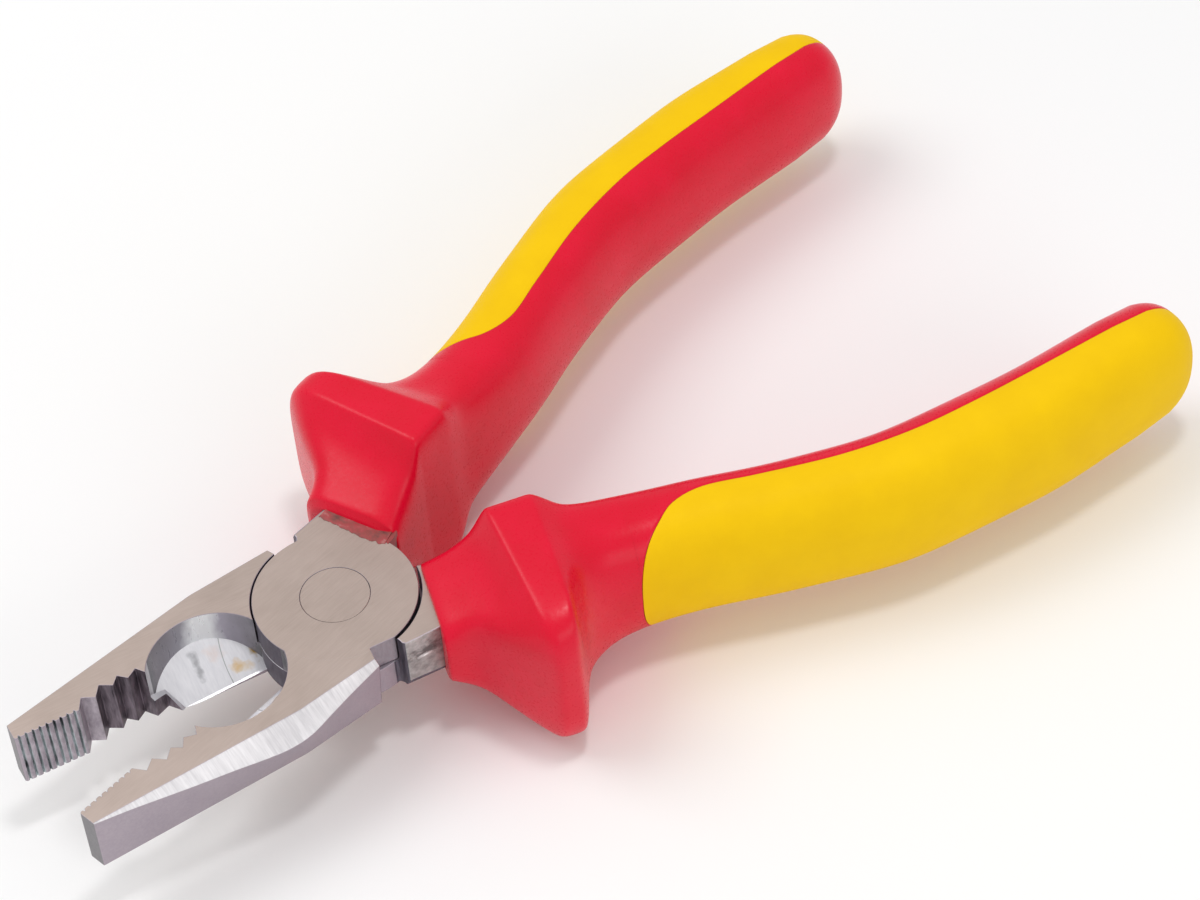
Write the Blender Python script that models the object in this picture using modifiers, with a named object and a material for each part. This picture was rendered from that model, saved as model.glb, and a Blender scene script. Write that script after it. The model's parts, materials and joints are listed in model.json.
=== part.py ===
"""Insulated combination (lineman) pliers of the 7 inch (180 mm) size, lying open.

Two forged halves cross at a flush rivet. Each half is a jaw, half of the lap joint and a handle tang.
A red insulating sleeve with a hand guard covers each tang, and a yellow grip panel is let into it.

Each half is drawn in its own closed frame: millimetres, the pivot axis at the origin, the tool's long
axis along X with the jaw tips at -X, the closing line on Y = 0 and the handle on the +Y side.
side = +1 keeps that drawing (front half) and side = -1 mirrors it in Y (rear half).
"""

import math

import bmesh
import bpy
from mathutils import Matrix, Vector

MM = 0.001

# Pose and place of the whole tool, in metres and degrees.
PIVOT_X = -0.03839
PIVOT_Z = 0.01514
HALF_OPENING_DEG = 9.45

# Lap joint, in millimetres.
HALF_THICKNESS = 4.83
JOINT_RADIUS = 11.7
RECESS_RADIUS = 12.2
LAYER_GAP = 0.15
RIVET_RADIUS = 4.95
BORE_RADIUS = 5.05
RIVET_EDGE = 0.15
ROUND_SEGMENTS = 64

# Jaw, in millimetres.
TIP_X = -48.6
CLOSING_GAP = 0.1
FINE_TEETH_END = -39.3
FINE_TEETH = 9
FINE_DEPTH = 0.5
COARSE_TEETH_END = -28.3
COARSE_TEETH = 5
COARSE_DEPTH = 1.3
COARSE_HOLLOW = 1.6
CUTTER_CENTRE = (-20.2, 2.53)
CUTTER_RADIUS = 9.36
BEVEL_START = (-6.83, -0.3)
BLADE_LAND = 0.35
JAW_BACK = ((-48.4, -2.85), (-38.7, -6.6), (-29.3, -10.05), (-21.9, -12.75), (-18.1, -13.6), (-4.6, -13.25))
CHAMFER_LINES = (((-48.6, -2.85), (-17.5, -10.65)), ((-17.5, -10.65), (-4.6, -12.35)))
CHAMFER_DEG = 42
HEEL_X = -4.1

# Neck and tang, in millimetres.
NECK_OUTLINE = ((3.9, 10.9), (4.35, 13.1), (10.0, 12.8), (14.6, 13.4), (17.6, 4.6), (14.0, 2.0), (11.4, 0.9))
NECK_CHAMFER_LINE = ((4.35, 12.0), (14.6, 12.2))
TANG_PATH = (
    (12.0, 7.6), (20.0, 9.4), (30.0, 11.8), (47.0, 14.5), (62.3, 18.7), (81.0, 22.2), (99.0, 22.0), (112.0, 20.7),
)
TANG_HALF_WIDTH = (4.4, 2.9)
TANG_HALF_THICKNESS = 3.4
FIT_GAP = 0.3
CAVITY_MOUTH_X = 2.0

# Sleeve sections: inner point x, y; outer point x, y; half height; lean of the top towards the outer
# side; squareness of the inner half and of the outer half.
COLLAR = (
    (13.0, 0.7, 9.2, 16.0, 6.1, 0.03, 5.0, 3.6),
    (16.2, 1.9, 12.8, 17.3, 8.1, 0.04, 6.0, 3.5),
    (19.5, 3.0, 16.6, 22.3, 10.9, 0.06, 8.0, 3.5),
    (22.1, 4.2, 19.6, 29.6, 13.8, 0.09, 10.0, 3.5),
)
GUARD_BACK = (28.9, 5.3, 24.6, 28.7, 14.5, 0.07, 9.0, 3.5)
GRIP = (
    GUARD_BACK,
    (33.0, 5.7, 28.9, 22.4, 12.0, 0.07, 5.0, 2.8),
    (37.6, 5.9, 34.7, 20.1, 11.0, 0.06, 3.8, 2.5),
    (48.8, 7.4, 45.3, 21.6, 10.6, 0.03, 2.8, 2.4),
    (64.2, 11.6, 60.5, 25.8, 10.5, 0.0, 2.5, 2.4),
    (81.7, 14.7, 80.5, 29.8, 10.5, 0.0, 2.4, 2.4),
    (98.5, 14.5, 99.3, 29.5, 10.5, 0.0, 2.4, 2.4),
    (113.3, 13.2, 114.9, 27.7, 10.4, 0.0, 2.4, 2.4),
    (123.0, 12.6, 124.5, 25.9, 9.6, 0.0, 2.4, 2.4),
    (127.0, 13.6, 128.1, 24.2, 7.7, 0.0, 2.3, 2.3),
    (129.2, 17.0, 129.5, 20.3, 2.3, 0.0, 2.2, 2.2),
)
COLLAR_STEPS = 2
GRIP_STEPS = 2
SECTION_POINTS = 24

# Grip panel: its edge in plan, from the front of the panel to past the end of the handle.
PANEL_EDGE = (
    (36.9, 23.5), (37.6, 21.6), (40.2, 18.9), (42.8, 16.3), (46.2, 14.3), (51.0, 13.7),
    (59.0, 15.8), (71.0, 18.9), (82.5, 20.3), (92.0, 20.2), (102.0, 19.6), (121.7, 18.2), (133.0, 17.2),
)
PANEL_DEPTH = 1.8
PANEL_FAR_Y = 40.0
PANEL_HALF_HEIGHT = 20.0

STEEL_FACE = (0.48, 0.43, 0.38)
STEEL_RIVET = (0.50, 0.46, 0.41)
RED = (0.76, 0.02, 0.035)
YELLOW = (0.95, 0.62, 0.0)


def clear_scene():
    for obj in list(bpy.data.objects):
        bpy.data.objects.remove(obj, do_unlink=True)
    for collection in list(bpy.data.collections):
        bpy.data.collections.remove(collection)


def new_collection(name):
    collection = bpy.data.collections.new(name)
    bpy.context.scene.collection.children.link(collection)
    return collection


def material(name, colour, roughness, metallic):
    mat = bpy.data.materials.new(name)
    mat.use_nodes = True
    shader = mat.node_tree.nodes["Principled BSDF"]
    shader.inputs["Base Color"].default_value = (*colour, 1.0)
    shader.inputs["Roughness"].default_value = roughness
    shader.inputs["Metallic"].default_value = metallic
    return mat


def add_object(name, mesh, collection):
    obj = bpy.data.objects.new(name, mesh)
    collection.objects.link(obj)
    if collection.name == "cutters":
        obj.hide_render = True
        obj.display_type = "WIRE"
    return obj


def slab(name, outline, half_thickness, collection):
    """A flat outline in millimetres as a closed plate, centred on Z = 0."""
    curve = bpy.data.curves.new(name, "CURVE")
    curve.dimensions = "2D"
    curve.fill_mode = "BOTH"
    curve.extrude = half_thickness * MM
    spline = curve.splines.new("POLY")
    spline.points.add(len(outline) - 1)
    for point, (x, y) in zip(spline.points, outline):
        point.co = (x * MM, y * MM, 0.0, 1.0)
    spline.use_cyclic_u = True
    guide = bpy.data.objects.new(name + "_outline", curve)
    collection.objects.link(guide)
    graph = bpy.context.evaluated_depsgraph_get()
    mesh = bpy.data.meshes.new_from_object(guide.evaluated_get(graph))
    bpy.data.objects.remove(guide, do_unlink=True)
    shape = bmesh.new()
    shape.from_mesh(mesh)
    bmesh.ops.remove_doubles(shape, verts=shape.verts, dist=0.01 * MM)
    bmesh.ops.recalc_face_normals(shape, faces=shape.faces)
    shape.to_mesh(mesh)
    shape.free()
    return add_object(name, mesh, collection)


def cylinder(name, centre, radius, low, high, collection):
    """A cylinder along Z between two heights, all in millimetres."""
    shape = bmesh.new()
    place = Matrix.Translation(Vector((centre[0], centre[1], (low + high) / 2)) * MM)
    bmesh.ops.create_cone(
        shape, cap_ends=True, segments=ROUND_SEGMENTS, radius1=radius * MM, radius2=radius * MM,
        depth=(high - low) * MM, matrix=place,
    )
    mesh = bpy.data.meshes.new(name)
    shape.to_mesh(mesh)
    shape.free()
    return add_object(name, mesh, collection)


def cut_by_plane(obj, point, normal):
    """Removes what lies beyond a plane, given in millimetres, and closes the cut."""
    shape = bmesh.new()
    shape.from_mesh(obj.data)
    whole = shape.verts[:] + shape.edges[:] + shape.faces[:]
    bmesh.ops.bisect_plane(
        shape, geom=whole, dist=1e-7, plane_co=Vector(point) * MM, plane_no=Vector(normal), clear_outer=True
    )
    open_edges = [edge for edge in shape.edges if edge.is_boundary]
    bmesh.ops.holes_fill(shape, edges=open_edges, sides=0)
    bmesh.ops.recalc_face_normals(shape, faces=shape.faces)
    shape.to_mesh(obj.data)
    shape.free()


def chamfer(obj, line, side, outward, angle_deg):
    """Slopes both edges of a plate along a line in plan; outward is the Y sign of the edge's own side."""
    (x0, y0), (x1, y1) = line
    along = Vector((x1 - x0, (y1 - y0) * side, 0.0)).normalized()
    away = Vector((-along.y, along.x, 0.0))
    if away.y * outward < 0:
        away.negate()
    angle = math.radians(angle_deg)
    for face in (1, -1):
        normal = away * math.sin(angle) + Vector((0.0, 0.0, face * math.cos(angle)))
        cut_by_plane(obj, (x0, y0 * side, face * HALF_THICKNESS), normal)


def boolean(obj, operation, tool):
    modifier = obj.modifiers.new(f"{operation.lower()}_{tool.name}", "BOOLEAN")
    modifier.operation = operation
    modifier.solver = "EXACT"
    modifier.object = tool


def smooth(obj, angle_deg):
    obj.data.shade_smooth()
    obj.data.set_sharp_from_angle(angle=math.radians(angle_deg))


def finish(obj, mat, parent):
    obj.data.materials.clear()
    obj.data.materials.append(mat)
    obj.parent = parent


def fine_teeth():
    """Sawtooth points of the flat gripping zone, from the tip towards the joint."""
    pitch = (FINE_TEETH_END - TIP_X) / FINE_TEETH
    points = []
    for tooth in range(FINE_TEETH):
        start = TIP_X + tooth * pitch
        points.append((start + 0.15 * pitch, -CLOSING_GAP))
        points.append((start + 0.6 * pitch, -CLOSING_GAP - FINE_DEPTH))
    points.append((FINE_TEETH_END, -CLOSING_GAP))
    return points


def coarse_teeth():
    """Points of the hollow pipe grip: ridges on a shallow arc, with V valleys between them."""
    pitch = (COARSE_TEETH_END - FINE_TEETH_END) / COARSE_TEETH
    points = []
    for tooth in range(1, COARSE_TEETH + 1):
        valley_x = FINE_TEETH_END + (tooth - 0.45) * pitch
        ridge_x = FINE_TEETH_END + tooth * pitch
        for x, depth in ((valley_x, COARSE_DEPTH), (ridge_x, 0.0)):
            along = (x - FINE_TEETH_END) / (COARSE_TEETH_END - FINE_TEETH_END)
            hollow = COARSE_HOLLOW * math.sin(math.pi * min(along, 0.85))
            points.append((x, -CLOSING_GAP - hollow - depth))
    return points


def jaw_outline(side):
    inner = [(TIP_X, -CLOSING_GAP - FINE_DEPTH / 2)] + fine_teeth() + coarse_teeth()
    inner.append((COARSE_TEETH_END + 0.8, -CLOSING_GAP))
    joint = [(0.0, -CLOSING_GAP), (0.0, -6.0), (HEEL_X, -11.0)]
    back = list(reversed(JAW_BACK))
    return [(x, y * side) for x, y in inner + joint + back]


def neck_outline(side, grow):
    """The full-thickness neck that leaves the joint; grow widens it for the sleeve's socket."""
    if grow:
        (x1, y1), (x2, y2), (x3, y3), (x4, y4), (x5, y5) = NECK_OUTLINE[2:]
        points = (
            (CAVITY_MOUTH_X, y1 + grow), (x1, y1 + grow), (x2 + grow, y2 + grow),
            (x3 + grow, y3 - grow), (x4, y4 - grow), (x5, y5 - grow), (CAVITY_MOUTH_X, y5 - grow),
        )
    else:
        points = NECK_OUTLINE + ((3.0, 0.9),)
    return [(x, y * side) for x, y in points]


def tang_outline(side, grow):
    """A bar of tapering width along the tang's path, with a square end."""
    left, right = [], []
    count = len(TANG_PATH)
    for i, (x, y) in enumerate(TANG_PATH):
        before = Vector(TANG_PATH[max(i - 1, 0)])
        after = Vector(TANG_PATH[min(i + 1, count - 1)])
        along = (after - before).normalized()
        width = TANG_HALF_WIDTH[0] + (TANG_HALF_WIDTH[1] - TANG_HALF_WIDTH[0]) * i / (count - 1) + grow
        stretch = along * grow if i == count - 1 else Vector((0.0, 0.0))
        centre = Vector((x, y)) + stretch
        across = Vector((-along.y, along.x)) * width
        left.append(centre + across)
        right.append(centre - across)
    return [(p.x, p.y * side) for p in left + list(reversed(right))]


def forged_half(name, side, layer, parts, cutters):
    """One forging. layer is the sign of Z of the joint disc that this half carries."""
    jaw_side = -side
    half = slab(name, jaw_outline(side), HALF_THICKNESS, parts)
    for line in CHAMFER_LINES:
        chamfer(half, line, side, jaw_side, CHAMFER_DEG)

    pocket = cylinder(name + "_cutter_pocket", (CUTTER_CENTRE[0], CUTTER_CENTRE[1] * side), CUTTER_RADIUS,
                      -8.0, 8.0, cutters)
    rise = (BEVEL_START[1] + HALF_THICKNESS - BLADE_LAND) / (-BEVEL_START[0] - CLOSING_GAP)
    cut_by_plane(pocket, (0.0, BEVEL_START[0] * side, BEVEL_START[1]), (0.0, -rise * side, -1.0))
    boolean(half, "DIFFERENCE", pocket)

    neck = slab(name + "_neck", neck_outline(side, 0.0), HALF_THICKNESS, cutters)
    chamfer(neck, NECK_CHAMFER_LINE, side, side, 45)
    boolean(half, "UNION", neck)

    low, high = sorted((layer * LAYER_GAP, -layer * 8.0))
    recess = cylinder(name + "_recess", (0.0, 0.0), RECESS_RADIUS, low, high, cutters)
    boolean(half, "DIFFERENCE", recess)

    low, high = sorted((layer * LAYER_GAP, layer * HALF_THICKNESS))
    disc = cylinder(name + "_disc", (0.0, 0.0), JOINT_RADIUS, low, high, cutters)
    boolean(half, "UNION", disc)

    bore = cylinder(name + "_bore", (0.0, 0.0), BORE_RADIUS, -8.0, 8.0, cutters)
    boolean(half, "DIFFERENCE", bore)

    tang = slab(name + "_tang", tang_outline(side, 0.0), TANG_HALF_THICKNESS, cutters)
    boolean(half, "UNION", tang)
    smooth(half, 25)
    return half


def section(row, side, inset):
    """One closed ring of the sleeve: a squared oval from the inner to the outer point."""
    inner, outer = Vector(row[0:2]), Vector(row[2:4])
    height, lean, square_in, square_out = row[4:]
    centre = (inner + outer) / 2
    half = (outer - inner) / 2
    half *= max(half.length - inset, 0.3) / half.length
    height = max(height - inset, 0.3)
    ring = []
    for i in range(SECTION_POINTS):
        angle = 2 * math.pi * i / SECTION_POINTS
        power = 2 / (square_out if math.cos(angle) >= 0 else square_in)
        across = math.copysign(abs(math.cos(angle)) ** power, math.cos(angle))
        up = math.copysign(abs(math.sin(angle)) ** power, math.sin(angle))
        plan = centre + half * across
        ring.append(Vector((plan.x, plan.y * side, height * up * (1 - lean * across))) * MM)
    return ring


def between(rows, steps):
    """Catmull-Rom values between the rows, each row being one list of section values."""
    result = []
    last = len(rows) - 1
    for i in range(last):
        before, start, end, after = rows[max(i - 1, 0)], rows[i], rows[i + 1], rows[min(i + 2, last)]
        for step in range(steps):
            t = step / steps
            weights = (
                (-t + 2 * t * t - t ** 3) / 2,
                (2 - 5 * t * t + 3 * t ** 3) / 2,
                (t + 4 * t * t - 3 * t ** 3) / 2,
                (-t * t + t ** 3) / 2,
            )
            values = zip(before, start, end, after)
            result.append([sum(w * v for w, v in zip(weights, four)) for four in values])
    result.append(list(rows[last]))
    return result


def loft(name, rows, side, inset, collection):
    """A closed body through the sections, with a flat cap at each end."""
    shape = bmesh.new()
    rings = [[shape.verts.new(point) for point in section(row, side, inset)] for row in rows]
    for first, second in zip(rings, rings[1:]):
        for i in range(SECTION_POINTS):
            j = (i + 1) % SECTION_POINTS
            shape.faces.new((first[i], first[j], second[j], second[i]))
    shape.faces.new(rings[0])
    shape.faces.new(rings[-1])
    bmesh.ops.recalc_face_normals(shape, faces=shape.faces)
    mesh = bpy.data.meshes.new(name)
    shape.to_mesh(mesh)
    shape.free()
    return add_object(name, mesh, collection)


def sleeve_rows():
    return between(COLLAR, COLLAR_STEPS) + between(GRIP, GRIP_STEPS)


def core_rows(inset):
    """The grip's rows for the body under the panel, ending short of the handle's end by the inset."""
    rows = [list(row) for row in GRIP[1:-1]]
    rows[-1][0] -= inset
    rows[-1][2] -= inset
    return between(rows, GRIP_STEPS)


def panel_outline(side, grow):
    """The plan area that the panel fills; grow widens it by the gap around the panel."""
    points = []
    last = len(PANEL_EDGE) - 1
    for i, (x, y) in enumerate(PANEL_EDGE):
        before = Vector(PANEL_EDGE[max(i - 1, 0)])
        after = Vector(PANEL_EDGE[min(i + 1, last)])
        along = (after - before).normalized()
        inward = Vector((along.y, -along.x)) if along.x > 0 else Vector((-1.0, 0.0))
        points.append(Vector((x, y)) + inward * grow)
    points.append(Vector((points[-1].x, PANEL_FAR_Y)))
    points.append(Vector((points[0].x, PANEL_FAR_Y)))
    return [(p.x, p.y * side) for p in points]


def insulation(name, side, parts, cutters):
    """The red sleeve and the yellow panel of one handle."""
    sleeve = loft(name + "_insulating_sleeve", sleeve_rows(), side, 0.0, parts)
    seat = slab(name + "_panel_seat", panel_outline(side, FIT_GAP), PANEL_HALF_HEIGHT, cutters)
    core = loft(name + "_core", core_rows(PANEL_DEPTH + FIT_GAP), side, PANEL_DEPTH + FIT_GAP, cutters)
    socket = slab(name + "_neck_socket", neck_outline(side, FIT_GAP), HALF_THICKNESS + FIT_GAP, cutters)
    channel_height = TANG_HALF_THICKNESS + FIT_GAP
    channel = slab(name + "_tang_channel", tang_outline(side, FIT_GAP), channel_height, cutters)
    boolean(sleeve, "DIFFERENCE", seat)
    boolean(sleeve, "UNION", core)
    boolean(sleeve, "DIFFERENCE", socket)
    boolean(sleeve, "DIFFERENCE", channel)
    smooth(sleeve, 30)

    panel = loft(name + "_grip_panel", sleeve_rows(), side, 0.0, parts)
    area = slab(name + "_panel_area", panel_outline(side, 0.0), PANEL_HALF_HEIGHT, cutters)
    under = loft(name + "_panel_under", core_rows(PANEL_DEPTH), side, PANEL_DEPTH, cutters)
    boolean(panel, "INTERSECT", area)
    boolean(panel, "DIFFERENCE", under)
    smooth(panel, 30)
    return sleeve, panel


def rivet(parts):
    pin = cylinder("pivot_rivet", (0.0, 0.0), RIVET_RADIUS, -HALF_THICKNESS, HALF_THICKNESS, parts)
    edge = pin.modifiers.new("edge", "BEVEL")
    edge.width = RIVET_EDGE * MM
    edge.segments = 1
    edge.limit_method = "ANGLE"
    smooth(pin, 30)
    return pin


def pivot_empty(name, side, collection):
    """The joint axis of one half: turning it back by the half opening closes the tool."""
    empty = bpy.data.objects.new(name, None)
    empty.empty_display_size = 0.02
    empty.location = (PIVOT_X, 0.0, PIVOT_Z)
    empty.rotation_euler = (0.0, 0.0, math.radians(HALF_OPENING_DEG) * side)
    collection.objects.link(empty)
    return empty


def main():
    clear_scene()
    parts = new_collection("insulated_pliers")
    cutters = new_collection("cutters")
    steel = material("ground_steel", STEEL_FACE, 0.35, 1.0)
    rivet_steel = material("rivet_steel", STEEL_RIVET, 0.3, 1.0)
    red = material("red_insulation", RED, 0.4, 0.0)
    yellow = material("yellow_grip", YELLOW, 0.55, 0.0)
    for name, side, layer in (("front", 1, 1), ("rear", -1, -1)):
        pivot = pivot_empty(name + "_pivot", side, parts)
        half = forged_half(name + "_plier_half", side, layer, parts, cutters)
        sleeve, panel = insulation(name, side, parts, cutters)
        finish(half, steel, pivot)
        finish(sleeve, red, pivot)
        finish(panel, yellow, pivot)
        if name == "front":
            finish(rivet(parts), rivet_steel, pivot)
        for tool in cutters.objects:
            if tool.parent is None:
                tool.parent = pivot


main()
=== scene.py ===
"""Looks of a pair of insulated combination pliers.

They are two forged halves, their rivet, red sleeves and yellow panels. Each half is drawn in
millimetres in its own closed frame: the rivet's axis at the origin, the jaw tips at -X, the closing line
on Y = 0, the handle at +Y and the cutter hollow on the +Z face. The rear half mirrors that drawing in Y.
half_matrix() turns each half open, and place() puts it at the CAD joint.
"""

import json
import math

import bmesh
import bpy
import numpy as np
from mathutils import Matrix, Vector


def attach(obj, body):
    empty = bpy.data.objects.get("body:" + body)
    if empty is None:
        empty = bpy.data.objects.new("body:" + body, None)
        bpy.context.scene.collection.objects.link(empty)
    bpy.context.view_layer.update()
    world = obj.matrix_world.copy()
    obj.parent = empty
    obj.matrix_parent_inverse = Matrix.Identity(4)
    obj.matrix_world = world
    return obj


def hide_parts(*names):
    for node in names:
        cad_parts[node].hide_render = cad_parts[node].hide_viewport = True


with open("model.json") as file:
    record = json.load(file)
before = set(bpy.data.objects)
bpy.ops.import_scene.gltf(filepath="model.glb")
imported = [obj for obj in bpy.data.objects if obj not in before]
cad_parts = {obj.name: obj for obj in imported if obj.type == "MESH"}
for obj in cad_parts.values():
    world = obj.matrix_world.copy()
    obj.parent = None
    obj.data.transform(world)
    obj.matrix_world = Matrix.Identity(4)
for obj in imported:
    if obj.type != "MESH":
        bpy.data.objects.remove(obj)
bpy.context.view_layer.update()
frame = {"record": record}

PIVOT = Vector(frame["record"]["behaviour"]["joints"][0]["pos_m"])
HALF_OPENING_DEG = 9.45
MM = 0.001
FRONT, REAR = 1, -1
BODIES = {FRONT: "front_half", REAR: "rear_half"}
NAMES = {FRONT: "front", REAR: "rear"}

# Forged halves, in millimetres.
H = 4.83
DISC_RADIUS = 11.7
JAW_RECESS_RADIUS = 11.95
NECK_RECESS_RADIUS = 12.2
LAYER_GAP = 0.04
# The disc's faces stand this far from planes that they would share with the recess and the jaw. The exact
# Boolean is sensitive here: with another value it can leave stray faces, or drop the rear half's jaw.
DISC_STEP = 0.004
RIVET_RADIUS = 4.93
RIVET_EDGE = 0.05
BORE_RADIUS = 4.98
EDGE = 0.07
# A round cutter widens at its open end, which leaves a narrow chamfer on the rim.
FLARE = 0.5
FLARE_RISE = 0.43
BORE_EDGE = 0.04
BORE_FLARE = 0.24
BORE_FLARE_RISE = 0.2
CLOSING_GAP = 0.1
TIP_X = -48.6
FINE_PITCH = 1.03
FINE_TEETH = 9
FINE_DEPTH = 0.36
FINE_START = 0.55
# One rib and groove, as shares of the pitch and of the depth.
FINE_TOOTH = ((0.0, 0.06), (0.17, 1.0), (0.34, 0.2), (0.55, 0.0), (0.8, 0.0))
COARSE_RIDGES = (
    (-38.9, 0.12), (-37.9, 1.82), (-36.1, 0.87), (-34.9, 2.56), (-33.2, 1.5), (-32.1, 2.76),
    (-30.9, 1.6), (-29.4, 2.6), (-28.2, 0.9),
)
NOTCH = ((-26.15, 1.75), (-24.85, 0.0))
NOTCH_RIM = ((-28.9, 0.3), (-28.5, -1.6), (-26.1, -2.3), (-24.2, -0.3), (-24.2, 0.3))
NOTCH_RIM_TOP = ((-28.2, -0.9, -1.5), (-26.15, -1.75, -2.1), (-24.85, -0.2, -4.6))
JAW_BACK = (
    (-48.6, -2.97), (-43.6, -4.66), (-38.7, -6.42), (-34.0, -8.1), (-29.3, -9.72), (-25.2, -11.2),
    (-21.9, -12.31), (-18.1, -13.09), (-14.0, -13.1), (-10.1, -13.07), (-4.6, -13.13),
)
FACE_EDGE = ((-48.6, -2.85), (-17.5, -10.65), (-4.6, -12.35))
CHAMFER_DEG = 50
# The face's edge runs at 14 degrees to X, so the chamfer is this much narrower across it than along Y.
FACE_EDGE_COSINE = 0.97
HEEL = (-3.7, -10.48)
DISC_FLAT = ((-3.66, -10.46), (-0.06, -11.77))
POCKET_CENTRE = (-20.0, 2.53)
POCKET_RADIUS = 9.36
POCKET_BOTTOM = -9.0
FLOOR_POINT = (-19.5, -6.83, -0.3)
FLOOR_SLOPE = (0.06, -0.66)
EDGE_GRIND_POINT = (-19.5, -0.1, -4.68)
EDGE_GRIND_SLOPE = (0.06, -0.45)
NECK = (
    (2.9, 11.2), (3.55, 11.25), (3.95, 11.75), (4.1, 12.6), (4.5, 13.0), (7.0, 12.95), (10.0, 12.8),
    (14.6, 13.4), (17.6, 4.6), (14.0, 2.0), (11.4, 0.9), (3.0, 0.9),
)
NECK_CHAMFER = ((4.1, 12.25), (14.6, 12.4))
NECK_CHAMFER_DEG = 62
NECK_CHAMFER_GROWTH = 1.4
TANG_PATH = (
    (12.0, 7.6), (20.0, 9.4), (30.0, 11.8), (47.0, 14.5), (62.3, 18.7), (81.0, 22.2), (99.0, 22.0),
    (112.0, 20.7),
)
TANG_HALF_WIDTH = (4.4, 2.9)
TANG_HALF_THICKNESS = 3.4
TANG_ROUND = 0.6

# Sleeve sections: inner x, y; outer x, y; half height; lean of the top; squareness inside and outside.
COLLAR = (
    (12.7, 0.65, 9.2, 15.85, 6.1, 0.03, 4.0, 3.5),
    (16.1, 1.85, 12.8, 17.0, 7.95, 0.04, 4.4, 5.6),
    (19.5, 3.0, 16.5, 23.4, 10.5, 0.06, 6.5, 6.4),
    (22.1, 3.9, 19.8, 29.3, 13.8, 0.085, 14.0, 4.6),
)
GUARD_BACK = (28.7, 4.8, 23.6, 29.2, 14.2, 0.06, 13.0, 4.9)
GRIP = (
    GUARD_BACK,
    (33.0, 5.8, 28.9, 21.4, 12.0, 0.07, 4.4, 2.8),
    (37.6, 6.1, 34.7, 19.95, 11.0, 0.06, 3.2, 2.5),
    (48.8, 7.7, 45.3, 21.6, 10.4, 0.03, 2.5, 2.4),
    (64.2, 11.8, 60.5, 25.8, 10.4, 0.0, 2.4, 2.4),
    (81.7, 14.7, 80.5, 29.8, 10.5, 0.0, 2.4, 2.4),
    (98.5, 14.5, 99.3, 29.5, 10.5, 0.0, 2.4, 2.4),
    (113.3, 13.2, 114.9, 27.35, 10.4, 0.0, 2.4, 2.4),
    (122.8, 12.18, 124.3, 25.95, 10.2, 0.0, 2.4, 2.4),
    (128.1, 11.75, 129.8, 25.15, 10.1, 0.0, 2.3, 2.3),
)
END_ROUND_LENGTH = 11.4
END_ROUND_POWER = 3.0
PANEL_EDGE = (
    (35.8, 22.8), (36.7, 21.3), (37.8, 20.1), (39.9, 18.3), (43.0, 16.2), (46.2, 14.3), (51.0, 13.7),
    (59.0, 15.8), (71.0, 18.9), (82.5, 20.3), (92.0, 20.2), (102.0, 19.6), (121.7, 18.2), (133.0, 17.2),
)
PANEL_GAP = 0.05
PANEL_DEPTH = 1.2
PANEL_BASE_GAP = 0.1
SOCKET_GAP = 0.05
CHANNEL_GAP = 0.1
# A depth below the skin is made by shrinking the section, so it is divided by about half its width.
HALF_SECTION = 7.2
MOUTH_HALF_SECTION = 6.5
RED_COLUMNS = 60
PANEL_COLUMNS = 36
CREASE_ROUND = 0.3
OUTER_CREASE_ROUND = 0.95
GRIP_SMOOTH = 2.6
# Sections along the sleeve: how close they lie, and how far they keep from a crease and the panel.
TABLE_STEP = 0.1
FIRST_STATION = 1.3
COLLAR_STEP = 0.7
GUARD_STEP = 0.6
CREASE_STEP = 0.2
CREASE_BAND = 1.4
BEFORE_CREASE = 1.6
AFTER_CREASE = 1.9
BEFORE_PANEL = 0.3
BLUNT_LENGTH = 7.0
BLUNT_COUNT = 22
GRIP_STEP = 1.0
STEEL_SHARP_DEG = 9
PLASTIC_SHARP_DEG = 35
FLASH_SHARP_DEG = 40
# How far the mouth draws in, at distances along the sleeve from its very front.
MOUTH_PROFILE = {
    FRONT: ((0.0, 0.95), (0.22, 0.66), (0.45, 0.37), (0.6, 0.17), (0.68, 0.06), (0.8, 0.0)),
    REAR: ((0.0, 0.55), (0.05, 0.3), (0.15, 0.12), (0.3, 0.03), (0.45, 0.0)),
}
LIP_SHRINK = 0.06 / HALF_SECTION

# The lip of plastic at the front handle's mouth, in millimetres.
FLASH_EDGE = ((8.65, 11.9), (9.0, 9.6), (9.35, 7.4), (9.75, 5.0), (10.15, 3.2), (10.85, 1.0))
FLASH_ROOT = ((10.6, 11.95), (13.2, 1.7))
FLASH_CURTAIN = ((11.3, 0.72), (12.6, 0.82), (13.8, 1.3), (13.9, 1.9), (12.9, 1.6), (11.4, 1.12))
FLASH_LIFT = 0.012
FLASH_THIN = 0.05
FLASH_THICK = 0.22
FLASH_LUMP = 0.03
FLASH_RAGGED = 0.16
FLASH_SEED = 4
CURTAIN_BOTTOM = -1.4
CURTAIN_RISE = 0.1
# The curtain is cut clear of the rear half's disc, between these heights.
OTHER_DISC_GAP = 0.15
OTHER_DISC_SPAN = (-2.0, 0.02)


def half_matrix(side):
    """Takes a drawing in millimetres to metres: mirrored for the rear half, and turned open at the joint."""
    turn = Matrix.Rotation(math.radians(HALF_OPENING_DEG) * side, 4, "Z")
    return turn @ Matrix.Diagonal((MM, MM * side, MM, 1.0))


def link(name, mesh):
    obj = bpy.data.objects.new(name, mesh)
    bpy.context.scene.collection.objects.link(obj)
    return obj


def to_object(shape, name):
    mesh = bpy.data.meshes.new(name)
    shape.to_mesh(mesh)
    shape.free()
    return link(name, mesh)


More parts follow.
